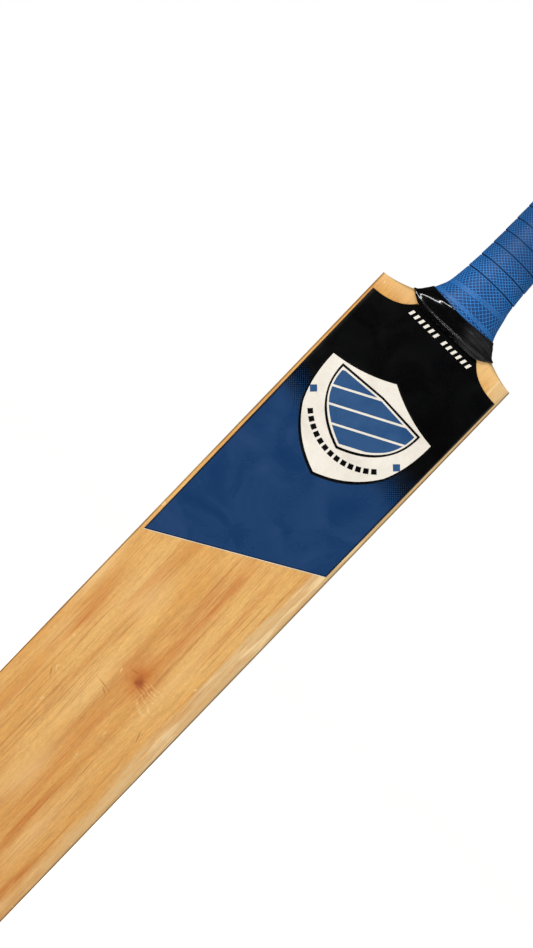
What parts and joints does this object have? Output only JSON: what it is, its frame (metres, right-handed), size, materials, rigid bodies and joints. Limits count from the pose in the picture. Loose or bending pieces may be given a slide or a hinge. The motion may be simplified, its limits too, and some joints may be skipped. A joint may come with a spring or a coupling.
{
  "type": "cricket bat",
  "caption": "Adult cricket bat: willow blade with a ridged back, spliced laminated cane handle, ringed rubber grip, tape cuff and plain shield labels on the face.",
  "frame": {"origin": "on the ground under the middle of the bounding box, with the bat upright on its toe", "axes": "+Z from the toe to the end of the handle; the playing face looks to -Y; +X is to the right of someone who looks at the face"},
  "size_m": [0.108, 0.0598, 0.85],
  "materials": {
    "willow": "lacquered, straight grain along the blade",
    "cane": "bare cane with fine long fibres",
    "insert_rubber": "matt black sheet rubber",
    "twine": "waxed linen twine, close wound",
    "grip_rubber": "moulded blue rubber, ringed, small diamond pattern",
    "tape": "glossy black stretch tape",
    "label_vinyl": "glossy printed vinyl, black at the top fading by dots to blue",
    "shield_vinyl": "glossy off-white printed vinyl with a black rim"
  },
  "bodies": {
    "root": {"willow_blade": "willow", "cane_front_left": "cane", "cane_front_centre": "cane", "cane_front_right": "cane", "cane_front_middle_left": "cane", "cane_front_middle_centre": "cane", "cane_front_middle_right": "cane", "cane_back_middle_left": "cane", "cane_back_middle_centre": "cane", "cane_back_middle_right": "cane", "cane_back_left": "cane", "cane_back_centre": "cane", "cane_back_right": "cane", "rubber_insert_front": "insert_rubber", "rubber_insert_middle": "insert_rubber", "rubber_insert_back": "insert_rubber", "twine_binding": "twine", "rubber_grip": "grip_rubber", "tape_cuff": "tape", "face_label": "label_vinyl", "shield_label": "shield_vinyl"}
  },
  "joints": []
}
